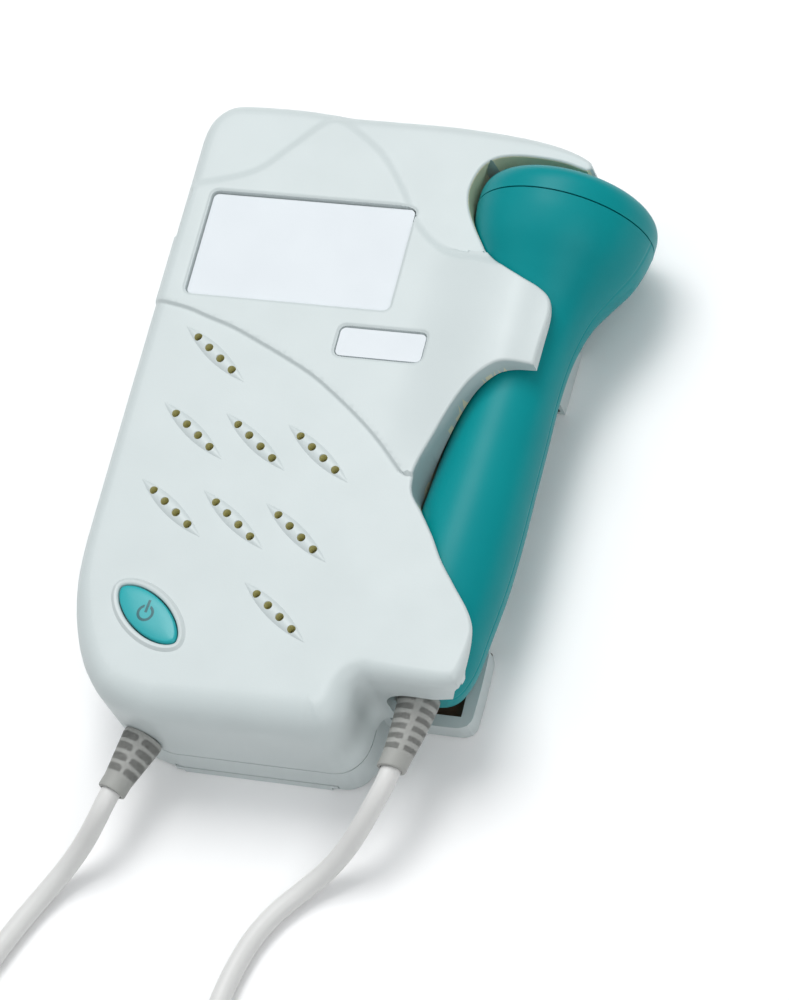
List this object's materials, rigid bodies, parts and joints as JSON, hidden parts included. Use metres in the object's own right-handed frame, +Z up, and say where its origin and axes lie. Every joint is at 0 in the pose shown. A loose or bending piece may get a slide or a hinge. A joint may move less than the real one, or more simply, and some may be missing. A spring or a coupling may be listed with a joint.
{
  "type": "fetal doppler monitor",
  "caption": "Pocket fetal heartbeat monitor in white plastic with a teal ultrasound probe in its side cradle and a coiled cord.",
  "frame": {"origin": "on the surface that the monitor lies on, under the middle of its box without the cord", "axes": "+Z up out of the front face, +Y toward the top end, +X toward the probe's side"},
  "size_m": [0.1154, 0.258, 0.0368],
  "materials": {
    "shell": "fine satin",
    "teal": "satin",
    "button": "satin gloss",
    "relief": "matte",
    "cord": "smooth",
    "plate": "printed film",
    "cloth": "woven",
    "dark": "moulded",
    "board": "solder mask",
    "steel": "nickel plated",
    "cell": "film sleeve",
    "cone": "paper",
    "ceramic": "ceramic"
  },
  "bodies": {
    "housing": {"front_shell": "shell", "rear_shell": "shell", "battery_cell_1": "cell", "battery_cell_2": "cell", "battery_contact_low": "steel", "battery_contact_high": "steel", "battery_spring_1": "steel", "battery_spring_2": "steel", "shell_screw_1": "steel", "shell_screw_2": "steel", "shell_screw_3": "steel", "shell_screw_4": "steel", "front_label": "plate", "name_plate": "plate", "grille_cloth": "cloth", "speaker_frame": "steel", "speaker_cone": "cone", "speaker_magnet": "steel", "main_board": "board", "button_board": "board", "board_chip_1": "dark", "board_chip_2": "dark", "board_chip_3": "dark", "volume_pot": "dark", "earphone_socket": "dark", "button_switch": "dark", "housing_strain_relief": "relief", "cord_tie": "relief", "cord_coil": "cord", "cord_housing_run": "cord", "cord_probe_run": "cord"},
    "power_button": {"power_button": "button"},
    "volume_wheel": {"volume_wheel": "dark"},
    "battery_door": {"battery_door": "shell"},
    "probe": {"probe_front_half": "teal", "probe_rear_half": "teal", "probe_face_cap": "teal", "transducer_disc_1": "ceramic", "transducer_disc_2": "ceramic", "transducer_backing": "dark", "probe_strain_relief": "relief"}
  },
  "joints": [
    {"name": "power_button_press", "type": "slide", "parent": "housing", "child": "power_button", "axis": [0, 0, -1], "range_m": [0, 0.0008], "stiffness_N_per_m": 500, "springref_m": -0.001},
    {"name": "volume_wheel_turn", "type": "hinge", "parent": "housing", "child": "volume_wheel", "pos_m": [-0.03385, 0.06687, 0.0189], "axis": [0, 0, 1], "range_deg": [-130, 130]},
    {"name": "battery_door_slide", "type": "slide", "parent": "housing", "child": "battery_door", "axis": [0, -1, 0], "range_m": [0, 0.016]},
    {"name": "probe_release", "type": "slide", "parent": "housing", "child": "probe", "axis": [0.9982, -0.0599, 0], "range_m": [0, 0.045]}
  ]
}
